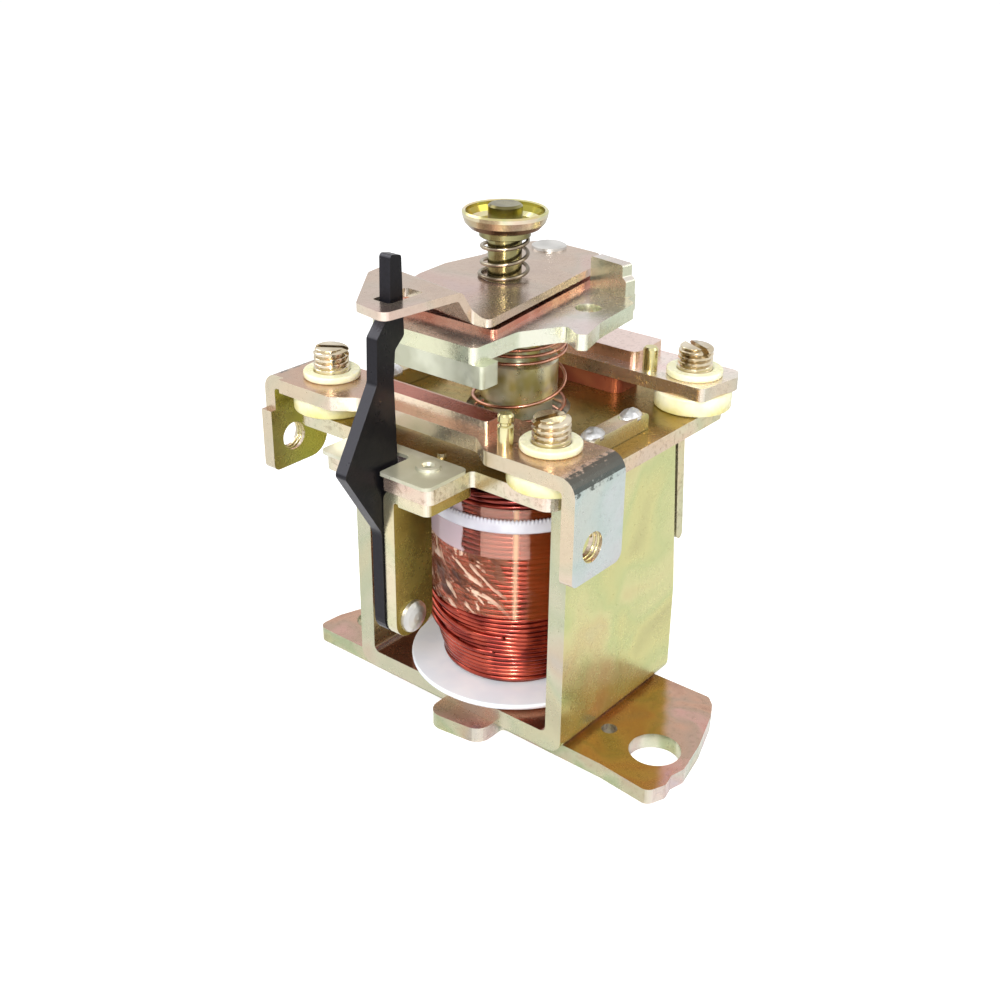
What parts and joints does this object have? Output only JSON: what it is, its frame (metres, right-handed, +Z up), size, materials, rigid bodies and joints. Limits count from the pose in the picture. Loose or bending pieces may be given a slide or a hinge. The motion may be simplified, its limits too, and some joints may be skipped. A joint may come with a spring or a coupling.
{
  "type": "trip relay",
  "caption": "Open electromagnetic trip relay: coil in a U yoke, plunger with a bridge contact plate, push button and a black trip lever, on a flat base with two ears.",
  "frame": {"origin": "centre of the yoke in plan, on the underside of the base plate", "axes": "+Z up along the coil, +X to the ear with the large hole, +Y to the rear, away from the trip lever"},
  "size_m": [0.0674, 0.0579, 0.0758],
  "materials": {
    "zinc_steel": "yellow zinc plating with a pale green and pink sheen",
    "slot_sheet": "thin plated sheet, warm tone",
    "rivet_steel": "grey rivet steel, satin",
    "black_steel": "black finish, fine grain",
    "white_plastic": "white moulded plastic",
    "winding_copper": "enamelled copper wire, glossy red brown",
    "clear_tape": "clear wrinkled tape",
    "core_iron": "plated iron",
    "contact_copper": "copper alloy bar",
    "cream_nylon": "cream nylon, slightly translucent",
    "spacer_block": "orange-brown insulating block, glossy",
    "stud_brass": "plated brass thread",
    "pin_brass": "turned brass",
    "return_wire": "copper-coloured spring wire",
    "button_wire": "dark spring wire",
    "button_metal": "yellow-plated turned steel"
  },
  "bodies": {
    "frame": {"base_plate": "zinc_steel", "yoke": "zinc_steel", "top_plate": "zinc_steel", "lever_bracket": "zinc_steel", "front_strip": "zinc_steel", "rear_strip": "zinc_steel", "slot_plate": "slot_sheet", "slot_rivet": "rivet_steel", "lever_rivet": "rivet_steel", "bobbin": "white_plastic", "tie_band": "white_plastic", "coil_core": "winding_copper", "coil_winding": "winding_copper", "coil_tape": "clear_tape", "fixed_core": "core_iron", "front_fixed_contact": "contact_copper", "rear_fixed_contact": "contact_copper", "nylon_spacers": "cream_nylon", "nylon_washers": "cream_nylon", "rear_spacer": "spacer_block", "terminal_studs": "stud_brass", "front_pin": "pin_brass", "rear_pin": "pin_brass", "return_spring": "return_wire"},
    "armature": {"plunger": "core_iron", "bridge_plate": "zinc_steel", "front_moving_contact": "contact_copper", "rear_moving_contact": "contact_copper", "shim_plate": "contact_copper", "latch_plate": "zinc_steel", "latch_rivet": "rivet_steel", "button_spring": "button_wire"},
    "button": {"stem": "button_metal", "cup": "button_metal", "stem_collar": "button_metal"},
    "lever": {"trip_lever": "black_steel"}
  },
  "joints": [
    {"name": "armature_slide", "type": "slide", "parent": "frame", "child": "armature", "axis": [0, 0, 1], "range_m": [-0.0042, 0], "stiffness_N_per_m": 350, "springref_m": 0.006, "deforming": ["return_spring"]},
    {"name": "button_slide", "type": "slide", "parent": "armature", "child": "button", "axis": [0, 0, 1], "range_m": [-0.002, 0], "stiffness_N_per_m": 500, "springref_m": 0.003, "deforming": ["button_spring"]},
    {"name": "lever_tilt", "type": "hinge", "parent": "frame", "child": "lever", "pos_m": [0.0004, -0.0267, 0.0252], "axis": [1, 0, 0], "range_deg": [-3.75, 0]}
  ],
  "couplings": [
    {"joint": "lever_tilt", "follows": "armature_slide", "rad_per_m": 15.5}
  ]
}
